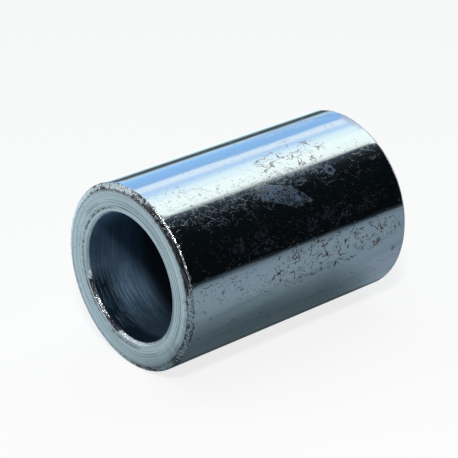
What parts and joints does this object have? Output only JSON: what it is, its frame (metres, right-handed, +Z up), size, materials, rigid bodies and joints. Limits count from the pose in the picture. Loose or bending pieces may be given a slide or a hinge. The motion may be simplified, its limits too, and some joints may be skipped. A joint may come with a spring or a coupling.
{
  "type": "plain sleeve coupling",
  "caption": "Plain rigid sleeve: a short thick-walled steel tube, bored right through, with square faced ends and broken edges, zinc plated.",
  "frame": {"origin": "middle of the sleeve's axis, half way between the two end faces", "axes": "+Y along the bore axis towards the back end face, +Z up with the sleeve lying on its side, +X across"},
  "size_m": [0.032, 0.048, 0.032],
  "materials": {
    "zinc_plated_steel": "bright blue-white zinc plate over drawn steel on the outside, duller over the turned end faces and the bored wall"
  },
  "bodies": {
    "root": {"sleeve": "zinc_plated_steel"}
  },
  "joints": []
}
